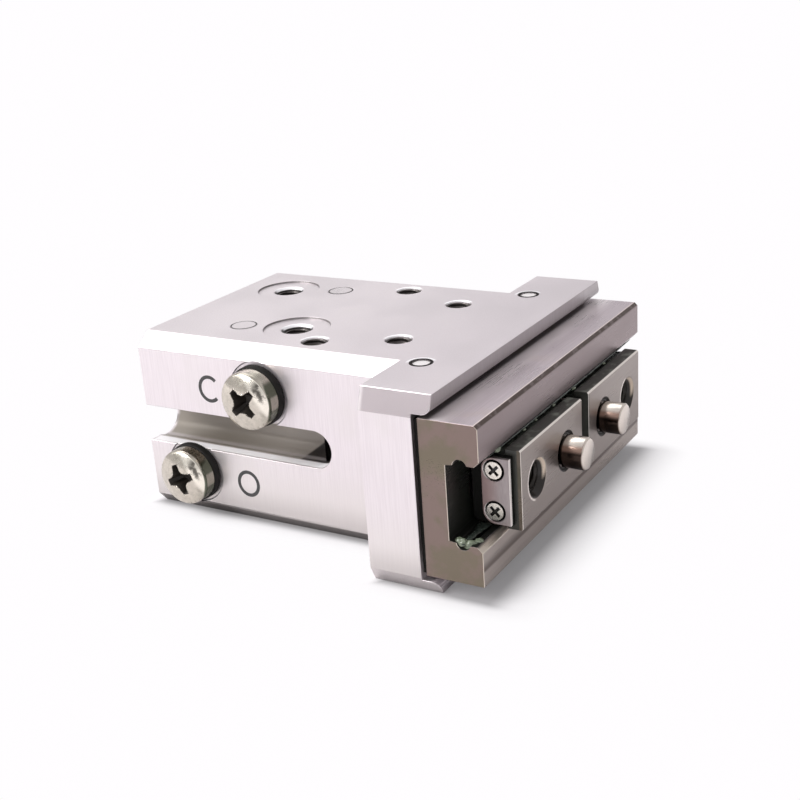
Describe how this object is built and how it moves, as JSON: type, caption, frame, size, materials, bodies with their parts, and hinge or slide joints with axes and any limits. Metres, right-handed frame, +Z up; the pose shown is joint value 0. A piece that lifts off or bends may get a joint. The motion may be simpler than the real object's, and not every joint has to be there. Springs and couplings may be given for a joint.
{
  "type": "pneumatic parallel gripper with linear guide",
  "caption": "Low-profile pneumatic parallel gripper: flat alloy body, T-shaped head, linear guide rail, two ball carriages with finger pins, plugged side air ports.",
  "frame": {"origin": "middle of the underside of the whole part's box", "axes": "+X from the cylinder's rear face to the jaws, Y along the guide rail, +Z up to the face with the mounting holes"},
  "size_m": [0.0434, 0.0368, 0.018],
  "materials": {
    "anodised_alloy": "fine brushed, clear anodised",
    "turned_alloy": "turned, satin",
    "spring_steel": "dark phosphated",
    "rubber": "matte black",
    "black_resin": "moulded, matte black",
    "bonded_magnet": "matte dark grey",
    "bright_steel": "polished",
    "hardened_steel": "ground, satin",
    "ground_steel": "ground, half bright",
    "plate_steel": "pressed sheet, half bright",
    "nickel_screw": "nickel plated",
    "black_screw": "black oxide"
  },
  "bodies": {
    "gripper_housing": {"housing": "anodised_alloy", "left_top_plug": "turned_alloy", "right_top_plug": "turned_alloy", "end_cap": "turned_alloy", "end_cap_ring": "rubber", "retaining_ring": "spring_steel", "rod_cover": "turned_alloy", "rod_cover_ring": "rubber", "rod_seal": "rubber", "left_pivot_pin": "bright_steel", "right_pivot_pin": "bright_steel", "rail_gasket": "rubber", "guide_rail": "ground_steel", "rail_screws": "black_screw", "close_port_screw": "nickel_screw", "open_port_screw": "nickel_screw", "close_port_washer": "rubber", "open_port_washer": "rubber"},
    "piston_assembly": {"piston": "turned_alloy", "piston_seal": "rubber", "magnet_ring": "bonded_magnet", "piston_rod": "bright_steel", "rod_yoke": "hardened_steel"},
    "left_lever_arm": {"left_lever": "hardened_steel"},
    "right_lever_arm": {"right_lever": "hardened_steel"},
    "left_jaw": {"left_carriage": "ground_steel", "left_outer_cap": "black_resin", "left_inner_cap": "black_resin", "left_outer_plate": "plate_steel", "left_inner_plate": "plate_steel", "left_plate_screws": "nickel_screw", "left_balls": "bright_steel", "left_finger_pin": "bright_steel"},
    "right_jaw": {"right_carriage": "ground_steel", "right_outer_cap": "black_resin", "right_inner_cap": "black_resin", "right_outer_plate": "plate_steel", "right_inner_plate": "plate_steel", "right_plate_screws": "nickel_screw", "right_balls": "bright_steel", "right_finger_pin": "bright_steel"}
  },
  "joints": [
    {"name": "piston_slide", "type": "slide", "parent": "gripper_housing", "child": "piston_assembly", "axis": [1, 0, 0], "range_m": [0, 0.0039]},
    {"name": "left_jaw_slide", "type": "slide", "parent": "gripper_housing", "child": "left_jaw", "axis": [0, 1, 0], "range_m": [0, 0.003]},
    {"name": "right_jaw_slide", "type": "slide", "parent": "gripper_housing", "child": "right_jaw", "axis": [0, -1, 0], "range_m": [0, 0.003]},
    {"name": "left_lever_hinge", "type": "hinge", "parent": "gripper_housing", "child": "left_lever_arm", "pos_m": [0.0091, 0.011, 0.00875], "axis": [0, 0, 1], "range_deg": [0, 26.27]},
    {"name": "right_lever_hinge", "type": "hinge", "parent": "gripper_housing", "child": "right_lever_arm", "pos_m": [0.0091, -0.011, 0.00875], "axis": [0, 0, -1], "range_deg": [0, 26.27]}
  ],
  "couplings": [
    {"joint": "left_jaw_slide", "follows": "piston_slide", "ratio": 0.767},
    {"joint": "right_jaw_slide", "follows": "piston_slide", "ratio": 0.767},
    {"joint": "left_lever_hinge", "follows": "piston_slide", "rad_per_m": 117.3},
    {"joint": "right_lever_hinge", "follows": "piston_slide", "rad_per_m": 117.3}
  ]
}
